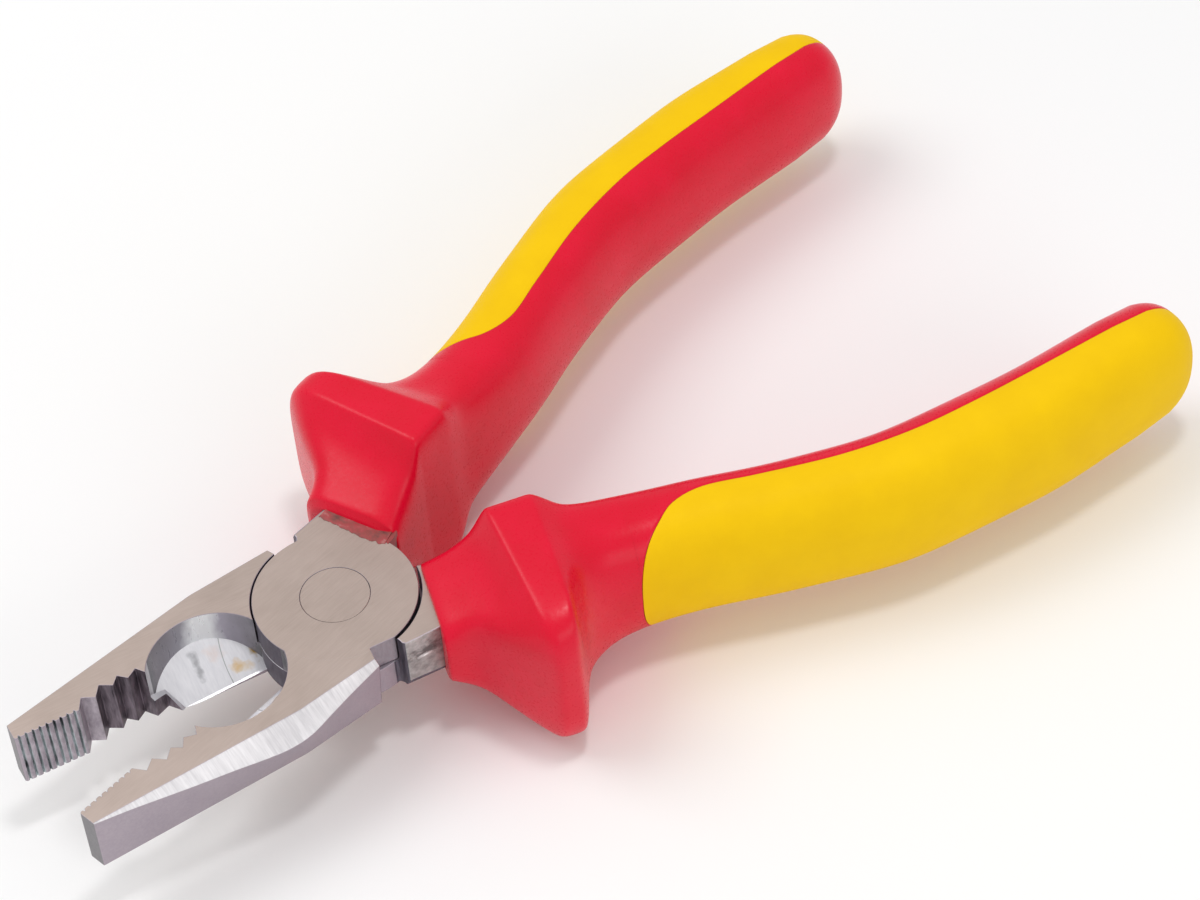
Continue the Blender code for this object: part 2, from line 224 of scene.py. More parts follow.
def prism(name, outline, low, high):
    """A closed plate from an outline in plan."""
    shape = bmesh.new()
    bottom = [shape.verts.new((x, y, low)) for x, y in outline]
    top = [shape.verts.new((x, y, high)) for x, y in outline]
    count = len(outline)
    for i in range(count):
        j = (i + 1) % count
        shape.faces.new((bottom[i], bottom[j], top[j], top[i]))
    shape.faces.new(bottom)
    shape.faces.new(top)
    bmesh.ops.recalc_face_normals(shape, faces=shape.faces)
    return to_object(shape, name)


def lathe(name, centre, profile, segments=160):
    """A turned solid on a vertical axis; the profile's first and last points lie on the axis."""
    shape = bmesh.new()
    rings = []
    for radius, z in profile[1:-1]:
        ring = []
        for i in range(segments):
            angle = 2 * math.pi * i / segments
            ring.append(shape.verts.new((
                centre[0] + radius * math.cos(angle), centre[1] + radius * math.sin(angle), z,
            )))
        rings.append(ring)
    for first, second in zip(rings, rings[1:]):
        for i in range(segments):
            j = (i + 1) % segments
            shape.faces.new((first[i], first[j], second[j], second[i]))
    shape.faces.new(rings[0])
    shape.faces.new(rings[-1])
    bmesh.ops.recalc_face_normals(shape, faces=shape.faces)
    return to_object(shape, name)


def fill_holes(shape):
    open_edges = [edge for edge in shape.edges if edge.is_boundary]
    bmesh.ops.holes_fill(shape, edges=open_edges, sides=0)


def cut_by_plane(obj, point, normal):
    shape = bmesh.new()
    shape.from_mesh(obj.data)
    whole = shape.verts[:] + shape.edges[:] + shape.faces[:]
    bmesh.ops.bisect_plane(shape, geom=whole, dist=1e-5, plane_co=point, plane_no=normal, clear_outer=True)
    fill_holes(shape)
    bmesh.ops.recalc_face_normals(shape, faces=shape.faces)
    shape.to_mesh(obj.data)
    shape.free()


def chamfer(obj, line, outward, angle_deg, faces):
    """Slopes the chosen faces' edges along a line in plan; outward is the Y sign of the side that is cut."""
    (x0, y0), (x1, y1) = line
    along = Vector((x1 - x0, y1 - y0, 0.0)).normalized()
    away = Vector((-along.y, along.x, 0.0))
    if away.y * outward < 0:
        away.negate()
    angle = math.radians(angle_deg)
    for face in faces:
        normal = away * math.sin(angle) + Vector((0.0, 0.0, face * math.cos(angle)))
        cut_by_plane(obj, (x0, y0, face * H), normal)


def soften(obj, width, angle_deg=22, segments=2):
    """Rounds every edge that is sharper than an angle."""
    shape = bmesh.new()
    shape.from_mesh(obj.data)
    bmesh.ops.remove_doubles(shape, verts=shape.verts, dist=1e-4)
    flat = math.radians(1.0)
    bmesh.ops.dissolve_limit(shape, angle_limit=flat, verts=shape.verts, edges=shape.edges)
    sharp = [e for e in shape.edges if e.is_manifold and e.calc_face_angle(0.0) > math.radians(angle_deg)]
    bmesh.ops.bevel(
        shape, geom=sharp, offset=width, offset_type="OFFSET", segments=segments, profile=0.5,
        affect="EDGES", clamp_overlap=False,
    )
    bmesh.ops.recalc_face_normals(shape, faces=shape.faces)
    shape.to_mesh(obj.data)
    shape.free()


def combine(obj, operation, tool):
    """Applies an exact Boolean and removes the tool."""
    modifier = obj.modifiers.new("boolean", "BOOLEAN")
    modifier.operation = operation
    modifier.solver = "EXACT"
    modifier.object = tool
    graph = bpy.context.evaluated_depsgraph_get()
    mesh = bpy.data.meshes.new_from_object(obj.evaluated_get(graph))
    obj.modifiers.clear()
    obj.data = mesh
    bpy.data.objects.remove(tool, do_unlink=True)


def drop_strays(obj):
    """Removes what a Boolean leaves behind: lone faces, and pairs of faces that lie back to back.

    Faces of more than four corners become triangles first, so that such pairs can be told by their corners.
    Holes that are left are filled.
    """
    shape = bmesh.new()
    shape.from_mesh(obj.data)
    bmesh.ops.remove_doubles(shape, verts=shape.verts, dist=1e-4)
    many_sided = [face for face in shape.faces if len(face.verts) > 4]
    bmesh.ops.triangulate(shape, faces=many_sided, ngon_method="EAR_CLIP")
    shape.verts.index_update()
    groups = {}
    for face in shape.faces:
        groups.setdefault(frozenset(vertex.index for vertex in face.verts), []).append(face)
    strays = [face for group in groups.values() if len(group) > 1 for face in group]
    lone = [face for face in shape.faces if sum(edge.is_boundary for edge in face.edges) > 1]
    bmesh.ops.delete(shape, geom=strays + lone, context="FACES")
    fill_holes(shape)
    shape.to_mesh(obj.data)
    shape.free()


def smooth_path(points, step):
    """A centripetal Catmull-Rom curve through the points, resampled at about one step."""
    ends = [2 * np.array(points[0]) - np.array(points[1])], [2 * np.array(points[-1]) - np.array(points[-2])]
    knots = ends[0] + [np.array(p, float) for p in points] + ends[1]
    path = []
    for p0, p1, p2, p3 in zip(knots, knots[1:], knots[2:], knots[3:]):
        t0 = 0.0
        t1 = t0 + np.linalg.norm(p1 - p0) ** 0.5
        t2 = t1 + np.linalg.norm(p2 - p1) ** 0.5
        t3 = t2 + np.linalg.norm(p3 - p2) ** 0.5
        count = max(1, round(float(np.linalg.norm(p2 - p1)) / step))
        for t in np.linspace(t1, t2, count, endpoint=False):
            a1 = (t1 - t) / (t1 - t0) * p0 + (t - t0) / (t1 - t0) * p1
            a2 = (t2 - t) / (t2 - t1) * p1 + (t - t1) / (t2 - t1) * p2
            a3 = (t3 - t) / (t3 - t2) * p2 + (t - t2) / (t3 - t2) * p3
            b1 = (t2 - t) / (t2 - t0) * a1 + (t - t0) / (t2 - t0) * a2
            b2 = (t3 - t) / (t3 - t1) * a2 + (t - t1) / (t3 - t1) * a3
            path.append((t2 - t) / (t2 - t1) * b1 + (t - t1) / (t2 - t1) * b2)
    path.append(np.array(points[-1], float))
    return [tuple(float(v) for v in p) for p in path]


def fine_teeth():
    """Rounded ribs with narrow grooves between them, from the tip towards the joint."""
    points = [(TIP_X, -CLOSING_GAP - 0.25), (TIP_X + 0.25, -CLOSING_GAP - 0.03)]
    for tooth in range(FINE_TEETH):
        start = TIP_X + FINE_START + tooth * FINE_PITCH
        for along, depth in FINE_TOOTH:
            points.append((start + along * FINE_PITCH, -CLOSING_GAP - depth * FINE_DEPTH))
    return points


def jaw(name, layer):
    """The jaw as three outlines: both flat faces, and between them the line where chamfer and side meet.

    Only the face of the half's own layer has a chamfer. The side below it leans in to the other face.
    """
    inner = fine_teeth() + [(x, -CLOSING_GAP - depth) for x, depth in COARSE_RIDGES]
    inner += [(x, -CLOSING_GAP - depth) for x, depth in NOTCH]
    inner += [(0.0, -CLOSING_GAP), (0.0, -6.0), HEEL]
    face_x, face_y = zip(*FACE_EDGE)
    slope = math.tan(math.radians(CHAMFER_DEG))
    back = list(reversed(smooth_path(JAW_BACK, 0.8)))
    edge = [(x, float(np.interp(x, face_x, face_y))) for x, _ in back]
    drop = [slope * FACE_EDGE_COSINE * (near[1] - far[1]) for near, far in zip(edge, back)]

    shape = bmesh.new()
    own, other = layer * H, -layer * H
    levels = (
        [(x, y, own) for x, y in inner + edge],
        [(x, y, 0.0) for x, y in inner] + [(x, y, layer * (H - d)) for (x, y), d in zip(back, drop)],
        [(x, y, other) for x, y in inner + edge],
    )
    rings = [[shape.verts.new(p) for p in level] for level in levels]
    strip(shape, rings, closed=True)
    shape.faces.new(rings[0])
    shape.faces.new(rings[-1])
    bmesh.ops.recalc_face_normals(shape, faces=shape.faces)
    return to_object(shape, name)


def disc_outline(radius):
    """The joint disc, with the flat beside the heel."""
    start = math.atan2(DISC_FLAT[1][1], DISC_FLAT[1][0])
    end = math.atan2(DISC_FLAT[0][1], DISC_FLAT[0][0]) + 2 * math.pi
    points = [DISC_FLAT[0]]
    for angle in np.linspace(start, end, 170)[:-1]:
        points.append((radius * math.cos(angle), radius * math.sin(angle)))
    return points


def grown(outline, grow):
    """The outline, which runs clockwise, pushed out by grow along its corners' bisectors."""
    points = [Vector(p) for p in outline]
    result = []
    for before, here, after in zip(points[-1:] + points[:-1], points, points[1:] + points[:1]):
        first = (here - before).normalized()
        second = (after - here).normalized()
        normal = Vector((-first.y - second.y, first.x + second.x)).normalized()
        stretch = max(normal.dot(Vector((-first.y, first.x))), 0.4)
        result.append(tuple(here + normal * grow / stretch))
    return result


def tang_outline(grow):
    left, right = [], []
    count = len(TANG_PATH)
    for i, (x, y) in enumerate(TANG_PATH):
        before = Vector(TANG_PATH[max(i - 1, 0)])
        after = Vector(TANG_PATH[min(i + 1, count - 1)])
        along = (after - before).normalized()
        width = TANG_HALF_WIDTH[0] + (TANG_HALF_WIDTH[1] - TANG_HALF_WIDTH[0]) * i / (count - 1) + grow
        centre = Vector((x, y)) + along * (grow if i == count - 1 else 0.0)
        across = Vector((-along.y, along.x)) * width
        left.append(centre + across)
        right.append(centre - across)
    return [(p.x, p.y) for p in left + list(reversed(right))]


def neck_plate(name, grow, layer):
    plate = prism(name, grown(NECK, grow), -H - grow, H + grow)
    (x0, y0), (x1, y1) = NECK_CHAMFER
    shift = NECK_CHAMFER_GROWTH * grow
    chamfer(plate, ((x0, y0 + shift), (x1, y1 + shift)), 1, NECK_CHAMFER_DEG, (layer,))
    return plate


def blade_cutter(name):
    """The hollow beside the cutting edge: a round wall down to a sloping floor and the ground edge."""
    tool = lathe(name, POCKET_CENTRE, (
        (0.0, POCKET_BOTTOM), (POCKET_RADIUS, POCKET_BOTTOM), (POCKET_RADIUS, H - EDGE),
        (POCKET_RADIUS + EDGE, H), (POCKET_RADIUS + FLARE, H + FLARE_RISE), (0.0, H + FLARE_RISE),
    ), 200)
    for point, slope in ((FLOOR_POINT, FLOOR_SLOPE), (EDGE_GRIND_POINT, EDGE_GRIND_SLOPE)):
        cut_by_plane(tool, point, Vector((slope[0], slope[1], -1.0)).normalized())
    rim = prism("notch_rim", NOTCH_RIM, -6.0, 0.0)
    first, second, third = (Vector(p) for p in NOTCH_RIM_TOP)
    normal = (second - first).cross(third - first).normalized()
    if normal.z < 0:
        normal.negate()
    cut_by_plane(rim, first, normal)
    combine(tool, "DIFFERENCE", rim)
    return tool


def forged_half(side):
    """One forging with its ground faces. Its own layer of the lap joint is +Z in front and -Z behind."""
    layer = side
    name = NAMES[side] + "_forged_half"
    half = jaw(name, layer)
    soften(half, EDGE)
    combine(half, "DIFFERENCE", blade_cutter("hollow"))

    neck = neck_plate("neck", 0.0, layer)
    soften(neck, 2 * EDGE)
    for plate, radius in ((half, JAW_RECESS_RADIUS), (neck, NECK_RECESS_RADIUS)):
        low, high = layer * LAYER_GAP, -layer * H
        profile = [
            (0.0, low), (radius, low), (radius, high + layer * EDGE), (radius + EDGE, high),
            (radius + FLARE, high - layer * FLARE_RISE), (0.0, high - layer * FLARE_RISE),
        ]
        combine(plate, "DIFFERENCE", lathe("recess", (0.0, 0.0), profile, 200))
    combine(half, "UNION", neck)

    low, high = sorted((layer * (LAYER_GAP + DISC_STEP), layer * (H + DISC_STEP)))
    disc = prism("disc", disc_outline(DISC_RADIUS), low, high)
    soften(disc, EDGE, 40, 1)
    combine(half, "UNION", disc)

    bore = lathe("bore", (0.0, 0.0), (
        (0.0, -H - BORE_FLARE_RISE), (BORE_RADIUS + BORE_FLARE, -H - BORE_FLARE_RISE),
        (BORE_RADIUS, -H + BORE_EDGE), (BORE_RADIUS, H - BORE_EDGE),
        (BORE_RADIUS + BORE_FLARE, H + BORE_FLARE_RISE), (0.0, H + BORE_FLARE_RISE),
    ))
    combine(half, "DIFFERENCE", bore)
    tang = prism("tang", tang_outline(0.0), -TANG_HALF_THICKNESS, TANG_HALF_THICKNESS)
    soften(tang, TANG_ROUND, 40, 3)
    combine(half, "UNION", tang)
    return half


def place(obj, side, node=None):
    """Turns a drawing into its place and hands it to its body. The piece's own origin stays at the joint."""
    obj.data.transform(half_matrix(side))
    if side < 0:
        obj.data.flip_normals()
    obj.matrix_world = Matrix.Translation(PIVOT)
    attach(obj, BODIES[side])
    if node:
        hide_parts(node)
    return obj


def pchip(xs, ys, at):
    """Monotone cubic interpolation, so that a flat stretch stays flat."""
    xs, ys = np.asarray(xs, float), np.asarray(ys, float)
    steps = np.diff(xs)
    slopes = np.diff(ys) / steps
    tangents = np.empty_like(ys)
    tangents[0], tangents[-1] = slopes[0], slopes[-1]
    for i in range(1, len(xs) - 1):
        if slopes[i - 1] * slopes[i] <= 0:
            tangents[i] = 0.0
            continue
        first = 2 * steps[i] + steps[i - 1]
        second = steps[i] + 2 * steps[i - 1]
        tangents[i] = (first + second) / (first / slopes[i - 1] + second / slopes[i])
    index = np.clip(np.searchsorted(xs, at, side="right") - 1, 0, len(xs) - 2)
    t = (at - xs[index]) / steps[index]
    low, high = ys[index], ys[index + 1]
    start, end = tangents[index] * steps[index], tangents[index + 1] * steps[index]
    return (
        (2 * t ** 3 - 3 * t ** 2 + 1) * low + (t ** 3 - 2 * t ** 2 + t) * start
        + (3 * t ** 2 - 2 * t ** 3) * high + (t ** 3 - t ** 2) * end
    )


class SleeveSurface:
    """The outer skin of a handle as a function of the distance along it and the way round it.

    A station is one section across the handle. Round it, v runs from 0 at the outer side over the top
    to 1 at the inner side; the underside is its mirror in Z.
    """

    def __init__(self):
        rows = np.array(COLLAR + GRIP, float)
        centres = (rows[:, 0:2] + rows[:, 2:4]) / 2
        steps = np.linalg.norm(np.diff(centres, axis=0), axis=1)
        marks = np.concatenate(([0.0], np.cumsum(steps)))
        self.front = float(marks[len(COLLAR) - 1])
        self.back = float(marks[len(COLLAR)])
        self.end = float(marks[-1])
        self.s = np.arange(0.0, self.end + TABLE_STEP / 2, TABLE_STEP)
        self.table = np.empty((len(self.s), rows.shape[1]))
        collar, grip = self.s <= self.front, self.s >= self.back
        band = ~collar & ~grip
        first, last = len(COLLAR), len(COLLAR) + 1
        for column in range(rows.shape[1]):
            values = rows[:, column]
            self.table[collar, column] = pchip(marks[:first], values[:first], self.s[collar])
            self.table[band, column] = np.interp(self.s[band], marks[first - 1:last], values[first - 1:last])
            self.table[grip, column] = pchip(marks[first:], values[first:], self.s[grip])
        self.smooth()
        self.round_from = self.end - END_ROUND_LENGTH

    def smooth(self):
        """Rounds the creases a little and the grip a lot, by a moving average of varying width."""
        crease = np.minimum(np.abs(self.s - self.front), np.abs(self.s - self.back))
        wide = np.clip((self.s - self.back - 3.0) / 12.0, 0.0, 1.0)
        outer = (2, 3)
        inner = [column for column in range(self.table.shape[1]) if column not in outer]
        for columns, crease_round in ((inner, CREASE_ROUND), (outer, OUTER_CREASE_ROUND)):
            spread = crease_round + (GRIP_SMOOTH - crease_round) * wide
            spread = np.minimum(spread, crease_round + 0.25 * crease)
            spread = np.minimum(spread, 0.02 + 0.3 * np.minimum(self.s, self.end - self.s))
            weights = np.exp(-0.5 * ((self.s[:, None] - self.s[None, :]) / spread[:, None]) ** 2)
            blurred = weights @ self.table[:, columns] / weights.sum(axis=1, keepdims=True)
            self.table[:, columns] = blurred

    def station(self, s, shrink=1.0):
        """Centre, half width vector, half height, lean, and the table from v to the section's shape."""
        row = np.array([np.interp(s, self.s, self.table[:, c]) for c in range(self.table.shape[1])])
        inner, outer = row[0:2], row[2:4]
        height, lean, square_in, square_out = row[4:]
        t = np.clip((s - self.round_from) / END_ROUND_LENGTH, 0.0, 1.0)
        size = (1.0 - t ** END_ROUND_POWER) ** (1.0 / END_ROUND_POWER)
        centre = (inner + outer) / 2
        half = (outer - inner) / 2 * size * shrink
        height = height * size * shrink
        angle = np.linspace(0.0, math.pi, 361)
        cos, sin = np.abs(np.cos(angle)), np.abs(np.sin(angle))
        power = np.where(angle < math.pi / 2, square_out, square_in)
        radius = (cos ** power + sin ** power) ** (-1.0 / power)
        across = radius * np.cos(angle)
        up = radius * sin * (1.0 - lean * across)
        width = np.linalg.norm(half)
        run = np.hypot(np.diff(across * width), np.diff(up * height))
        heading = np.unwrap(np.arctan2(np.diff(up * height), np.diff(across * width)))
        turn = np.abs(np.diff(heading, prepend=heading[0]))
        metric = np.concatenate(([0.0], np.cumsum(run + 0.12 * min(width, height) * turn)))
        return centre, half, height, across, up, metric / metric[-1]

    def points(self, s, v, shrink=1.0):
        """The points of one station at the given v; a negative v is the mirror on the underside."""
        centre, half, height, across, up, metric = self.station(s, shrink)
        v = np.asarray(v, float)
        u = np.interp(np.abs(v), metric, across)
        z = np.interp(np.abs(v), metric, up) * height * np.where(v < 0, -1.0, 1.0)
        plan = centre + u[:, None] * half
        return np.column_stack((plan, z))

    def panel_edge(self, offset):
        """Along the handle, how far across the panel reaches; offset widens the red side of the joint."""
        path = np.array(smooth_path(PANEL_EDGE, 0.5))
        heading = np.gradient(path, axis=0)
        heading /= np.linalg.norm(heading, axis=1, keepdims=True)
        path = path + np.column_stack((-heading[:, 1], heading[:, 0])) * offset
        centres = (self.table[:, 0:2] + self.table[:, 2:4]) / 2
        halves = (self.table[:, 2:4] - self.table[:, 0:2]) / 2
        marks, across = [], []
        for point in path:
            gap = (point - centres) @ np.array([[0.0, -1.0], [1.0, 0.0]])
            beyond = np.einsum("ij,ij->i", gap, halves)
            crossing = np.nonzero(np.diff(np.sign(beyond)))[0]
            if len(crossing) == 0:
                continue
            i = int(crossing[0])
            share = beyond[i] / (beyond[i] - beyond[i + 1])
            half = halves[i]
            marks.append(self.s[i] + TABLE_STEP * share)
            across.append(float((point - centres[i]) @ half / (half @ half)))
        return np.array(marks), np.array(across)


def edge_at(surface, s, marks, across):
    """The v of the panel's edge at a station, or 0 in front of the panel."""
    u = float(np.interp(s, marks, across))
    if u >= 1.0:
        return 0.0
    _, _, _, table, _, metric = surface.station(s)
    return float(np.interp(-u, -table, metric))


def panel_start(marks, across):
    """The station where the panel's edge first meets the outer side."""
    for i in range(1, len(marks)):
        if across[i - 1] >= 1.0 > across[i]:
            share = (across[i - 1] - 1.0) / (across[i - 1] - across[i])
            return marks[i - 1] + share * (marks[i] - marks[i - 1])
    return marks[0]


def end_stations(surface):
    """Stations that round off the handle's end, closer together as it closes."""
    stations = []
    for size in np.linspace(1.0, 0.04, 26)[1:]:
        t = (1.0 - size ** END_ROUND_POWER) ** (1.0 / END_ROUND_POWER)
        stations.append(surface.round_from + END_ROUND_LENGTH * t)
    return stations


def grip_stations(surface, start):
    """Stations from the panel's blunt front to the handle's end."""
    near = [start + BLUNT_LENGTH * (i / BLUNT_COUNT) ** 2 for i in range(1, BLUNT_COUNT + 1)]
    far = list(np.arange(near[-1] + 0.9, surface.round_from, GRIP_STEP))
    return near + far + end_stations(surface)


def front_stations(surface, start):
    """Stations from the mouth to the panel's front, close together at the guard's two creases."""
    stations = []
    first, step = FIRST_STATION, COLLAR_STEP
    for crease in (surface.front, surface.back):
        stations += list(np.arange(first, crease - BEFORE_CREASE, step))
        stations += list(np.arange(crease - CREASE_BAND, crease + CREASE_BAND + 0.01, CREASE_STEP))
        first, step = crease + AFTER_CREASE, GUARD_STEP
    return stations + list(np.arange(first, start - BEFORE_PANEL, step))


def patch(shape, vertices):
    """A face on four vertices, or on three where two of them are the same."""
    corners = []
    for vertex in vertices:
        if vertex not in corners:
            corners.append(vertex)
    if len(corners) > 2:
        shape.faces.new(corners)


def strip(shape, rows, closed=False):
    """Faces between rows of the same number of vertices."""
    for first, second in zip(rows, rows[1:]):
        count = len(first)
        for i in range(count if closed else count - 1):
            j = (i + 1) % count
            patch(shape, (first[i], first[j], second[j], second[i]))


def close_up(shape):
    bmesh.ops.remove_doubles(shape, verts=shape.verts, dist=2e-4)
    bmesh.ops.dissolve_degenerate(shape, edges=shape.edges, dist=1e-5)
    fill_holes(shape)
    bmesh.ops.recalc_face_normals(shape, faces=shape.faces)


def under(surface, s, start, depth):
    """The station under a panel station, drawn back towards the front so that it clears the end."""
    return s - depth * (s - start) / (surface.end - start)


def sleeve(surface, side):
    """The red sleeve, with a seat for the panel."""
    shape = bmesh.new()
    marks, across = surface.panel_edge(-PANEL_GAP / 2)
    start = panel_start(marks, across)
    full = np.linspace(0.0, 1.0, RED_COLUMNS + 1)

    def ring(s, edge, shrink=1.0):
        v = edge + (1.0 - edge) * full
        upper = surface.points(s, v, shrink)
        if edge > 0:
            upper[0] = surface.points(s, v[:1], shrink - LIP_SHRINK)[0]
        lower = upper[::-1] * (1.0, 1.0, -1.0)
        return [shape.verts.new(p) for p in np.vstack((upper, lower[1:]))]

    rows = [ring(s, 0.0, 1.0 - inset / MOUTH_HALF_SECTION) for s, inset in MOUTH_PROFILE[side]]
    rows += [ring(s, 0.0) for s in front_stations(surface, start)]
    rows.append(ring(start, 0.0))
    seat, walls = [[rows[-1][0]] * (2 * PANEL_COLUMNS + 1)], []
    columns = np.linspace(-1.0, 1.0, 2 * PANEL_COLUMNS + 1)
    depth = 1.0 - PANEL_DEPTH / HALF_SECTION
    for s in grip_stations(surface, start):
        edge = edge_at(surface, s, marks, across)
        rows.append(ring(s, edge))
        floor = surface.points(under(surface, s, start, PANEL_DEPTH), edge * columns, depth)
        seat.append([shape.verts.new(p) for p in floor])
        walls.append((rows[-2][0], rows[-1][0], seat[-1][-1], seat[-2][-1]))
        walls.append((rows[-2][-1], rows[-1][-1], seat[-1][0], seat[-2][0]))
    strip(shape, rows)
    strip(shape, seat)
    for wall in walls:
        patch(shape, wall)
    close_up(shape)
    obj = to_object(shape, NAMES[side] + "_insulating_sleeve_skin")
    socket = neck_plate("socket", SOCKET_GAP, side)
    combine(obj, "DIFFERENCE", socket)
    height = TANG_HALF_THICKNESS + CHANNEL_GAP
    channel = prism("channel", tang_outline(CHANNEL_GAP), -height, height)
    combine(obj, "DIFFERENCE", channel)
    drop_strays(obj)
    return obj


def panel(surface, side):
    """The yellow panel that lies flush in the sleeve's seat."""
    shape = bmesh.new()
    marks, across = surface.panel_edge(PANEL_GAP / 2)
    start = panel_start(marks, across)
    columns = np.linspace(-1.0, 1.0, 2 * PANEL_COLUMNS + 1)
    base = PANEL_DEPTH - PANEL_BASE_GAP
    depth = 1.0 - base / HALF_SECTION
    top, bottom = [], []
    for s in grip_stations(surface, start):
        edge = edge_at(surface, s, marks, across)
        v = edge * columns
        outer = surface.points(s, v)
        outer[[0, -1]] = surface.points(s, v[[0, -1]], 1.0 - LIP_SHRINK)
        top.append([shape.verts.new(p) for p in outer])
        inner = surface.points(under(surface, s, start, base), v, depth)
        bottom.append([shape.verts.new(p) for p in inner])
    strip(shape, top)
    strip(shape, bottom)
    for end in (0, -1):
        strip(shape, [[row[end] for row in top], [row[end] for row in bottom]])
    close_up(shape)
    return to_object(shape, NAMES[side] + "_grip_panel_skin")


def mouth_flash(name):
    """A thin tongue of plastic that was squeezed out over the flat metal in front of the mouth."""
    shape = bmesh.new()
    rng = np.random.default_rng(FLASH_SEED)
    front = np.array(smooth_path(FLASH_EDGE, 0.13))
    count = len(front)
    ragged = np.convolve(rng.normal(0.0, FLASH_RAGGED, count + 8), np.ones(5) / 5, "same")[4:-4]
    share = np.linspace(0.0, 1.0, count)[:, None]
    root = np.array(FLASH_ROOT[0]) * (1 - share) + np.array(FLASH_ROOT[1]) * share
    tops, bottoms = [], []
    for forward in np.linspace(0.0, 1.0, 13):
        reach = forward * (1.0 + ragged / 2.0)
        plan = root + (front - root) * reach[:, None]
        lump = FLASH_LUMP * np.sin(plan[:, 1] * 3.1) * np.sin(plan[:, 0] * 4.3)
        thick = FLASH_THIN + FLASH_THICK * (1 - forward) ** 0.8 + lump * (1 - forward)
        tops.append([shape.verts.new((x, y, H + FLASH_LIFT + t)) for (x, y), t in zip(plan, thick)])
        bottoms.append([shape.verts.new((x, y, H + FLASH_LIFT)) for x, y in plan])
    strip(shape, tops)
    strip(shape, bottoms)
    strip(shape, [tops[0], bottoms[0]])
    strip(shape, [tops[-1], bottoms[-1]])
    for end in (0, -1):
        strip(shape, [[row[end] for row in tops], [row[end] for row in bottoms]])
    close_up(shape)
    flash = to_object(shape, name)
    curtain = prism("curtain", FLASH_CURTAIN, CURTAIN_BOTTOM, H + CURTAIN_RISE)
    clear = DISC_RADIUS + OTHER_DISC_GAP
    low, high = OTHER_DISC_SPAN
    other_disc = lathe("other_disc", (0.0, 0.0), ((0.0, low), (clear, low), (clear, high), (0.0, high)))
    combine(curtain, "DIFFERENCE", other_disc)
    combine(flash, "UNION", curtain)
    drop_strays(flash)
    return flash


# Materials


class Nodes:
    """A short way to write a material's node tree; side turns its coordinates to that half's own frame."""

    def __init__(self, name, side=0):
        self.turn = math.radians(HALF_OPENING_DEG) * side
        self.material = bpy.data.materials.new(name)
        self.material.use_nodes = True
        self.tree = self.material.node_tree
        self.shader = self.tree.nodes["Principled BSDF"]

    def add(self, kind, **settings):
        node = self.tree.nodes.new(kind)
        for key, value in settings.items():
            setattr(node, key, value)
        return node

    def join(self, source, target):
        self.tree.links.new(source, target)

    def coordinates(self, scale):
        """The half's own coordinates in millimetres, multiplied by a scale for each axis."""
        place_in = self.add("ShaderNodeTexCoord")
        turned = self.add("ShaderNodeMapping")
        turned.inputs["Rotation"].default_value = (0.0, 0.0, -self.turn)
        self.join(place_in.outputs["Object"], turned.inputs["Vector"])
        mapping = self.add("ShaderNodeMapping")
        mapping.inputs["Scale"].default_value = tuple(value / MM for value in scale)
        self.join(turned.outputs["Vector"], mapping.inputs["Vector"])
        return mapping.outputs["Vector"]

    def noise(self, scale, detail=3.0, roughness=0.55, distortion=0.0):
        """Noise with one feature for each millimetre at a scale of 1."""
        node = self.add("ShaderNodeTexNoise")
        node.inputs["Scale"].default_value = 1.0
        node.inputs["Detail"].default_value = detail
        node.inputs["Roughness"].default_value = roughness
        node.inputs["Distortion"].default_value = distortion
        self.join(self.coordinates(scale), node.inputs["Vector"])
        return node.outputs["Fac"]

    def distance(self, place_in, point):
        node = self.add("ShaderNodeVectorMath", operation="DISTANCE")
        self.join(place_in, node.inputs[0])
        node.inputs[1].default_value = point
        return node.outputs["Value"]

    def blend(self, share, below, colour):
        """Lays a plain colour over another by a share from 0 to 1.

        The mix node's colours are its inputs 6 and 7 and its output 2.
        """
        node = self.add("ShaderNodeMix", data_type="RGBA")
        self.join(share, node.inputs[0])
        self.join(below, node.inputs[6])
        node.inputs[7].default_value = (*colour, 1.0)
        return node.outputs[2]

    def tint_patch(self, colour, cloud, point, size, tint, amount):
        """Lays a tint over a colour round a point, out to a wavy edge.

        It lays the blade's stains, and on the rear neck a painted glint and a partly painted red reflection.
        """
        scaled = tuple(along / wide for along, wide in zip(point, size))
        far = self.distance(self.coordinates(tuple(1.0 / wide for wide in size)), scaled)
        wavy = self.add("ShaderNodeMath", operation="MULTIPLY_ADD")
        self.join(cloud, wavy.inputs[0])
        wavy.inputs[1].default_value = 3.0
        self.join(far, wavy.inputs[2])
        return self.blend(self.span(wavy.outputs[0], 1.6, 2.7, amount, 0.0), colour, tint)

    def ramp(self, value, low, high, colour_low, colour_high, between=()):
        node = self.add("ShaderNodeValToRGB")
        node.color_ramp.elements[0].position = low
        node.color_ramp.elements[1].position = high
        node.color_ramp.elements[0].color = (*colour_low, 1.0)
        node.color_ramp.elements[1].color = (*colour_high, 1.0)
        for position, colour in between:
            node.color_ramp.elements.new(position).color = (*colour, 1.0)
        self.join(value, node.inputs["Fac"])
        return node.outputs["Color"]

    def span(self, value, low, high, to_low, to_high):
        node = self.add("ShaderNodeMapRange")
        node.inputs["From Min"].default_value = low
        node.inputs["From Max"].default_value = high
        node.inputs["To Min"].default_value = to_low
        node.inputs["To Max"].default_value = to_high
        self.join(value, node.inputs["Value"])
        return node.outputs["Result"]

    def bump(self, height, distance):
        node = self.add("ShaderNodeBump")
        node.inputs["Strength"].default_value = 1.0
        node.inputs["Distance"].default_value = distance * MM
        self.join(height, node.inputs["Height"])
        return node.outputs["Normal"]

    def set(self, **values):
        for key, value in values.items():
            self.shader.inputs[key.replace("_", " ")].default_value = value

    def feed(self, name, output):
        self.join(output, self.shader.inputs[name])
